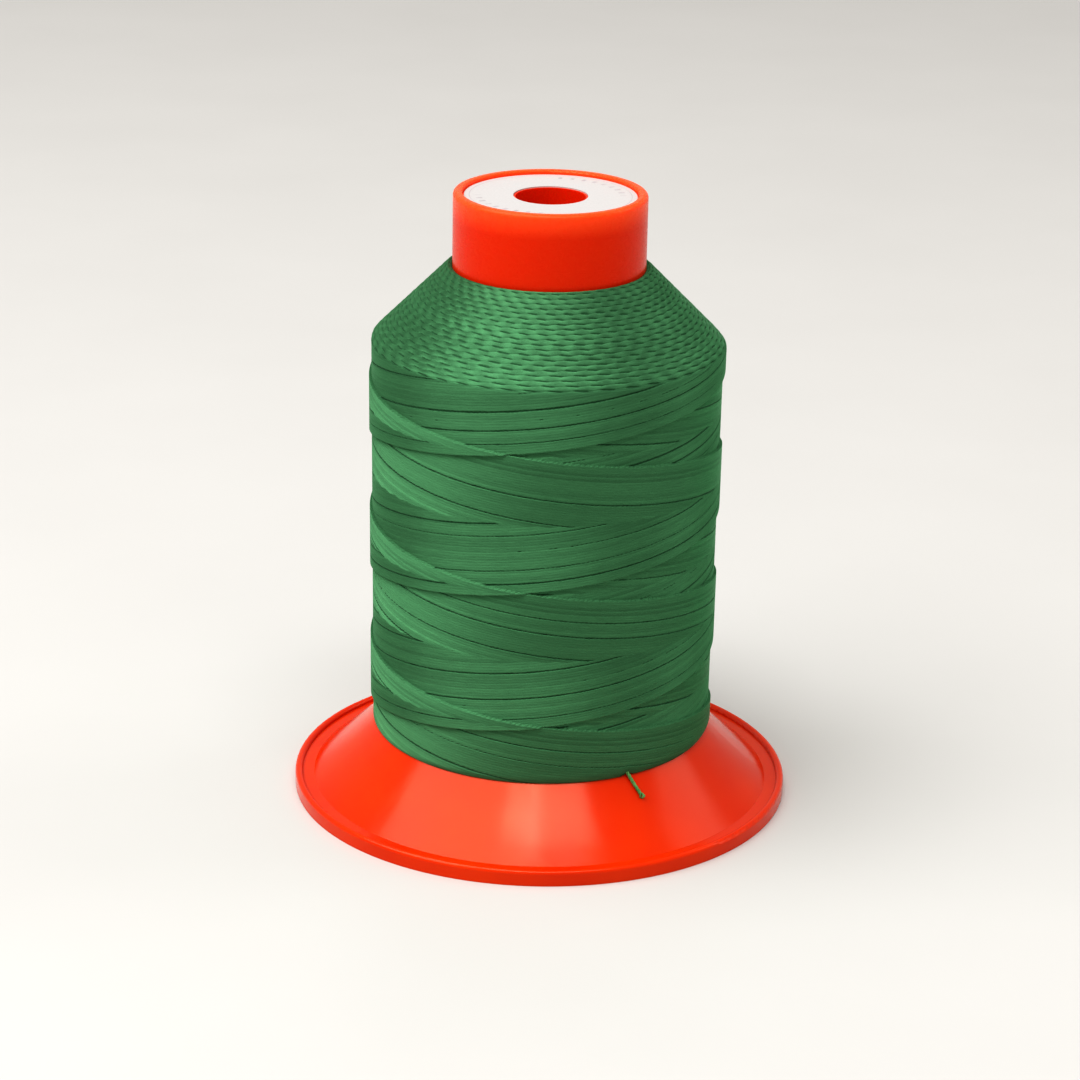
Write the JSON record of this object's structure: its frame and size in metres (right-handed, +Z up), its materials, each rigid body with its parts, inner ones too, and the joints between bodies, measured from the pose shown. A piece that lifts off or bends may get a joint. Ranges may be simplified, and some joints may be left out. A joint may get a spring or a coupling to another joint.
{
  "type": "spool of thread",
  "caption": "Snap-foot plastic spool wound with green sewing thread, its thread end locked under the foot's rim.",
  "frame": {"origin": "centre of the foot's underside, on the surface the spool stands on", "axes": "+Z up along the spindle axis, from the foot to the collar; the locked thread end comes out at the front right, where the front is -Y"},
  "size_m": [0.072, 0.072, 0.089],
  "materials": {
    "foot_plastic": "glossy moulded orange-red plastic",
    "tube_plastic": "glossy moulded orange-red plastic",
    "label_paper": "smooth white label paper",
    "thread": "satin continuous-filament thread, cross-wound"
  },
  "bodies": {
    "foot": {"snap_foot": "foot_plastic"},
    "spool": {"winding_tube": "tube_plastic", "top_label": "label_paper", "thread_package": "thread", "thread_end": "thread"}
  },
  "joints": [
    {"name": "foot_snap", "type": "slide", "parent": "foot", "child": "spool", "axis": [0, 0, 1], "range_m": [0, 0.003]}
  ]
}
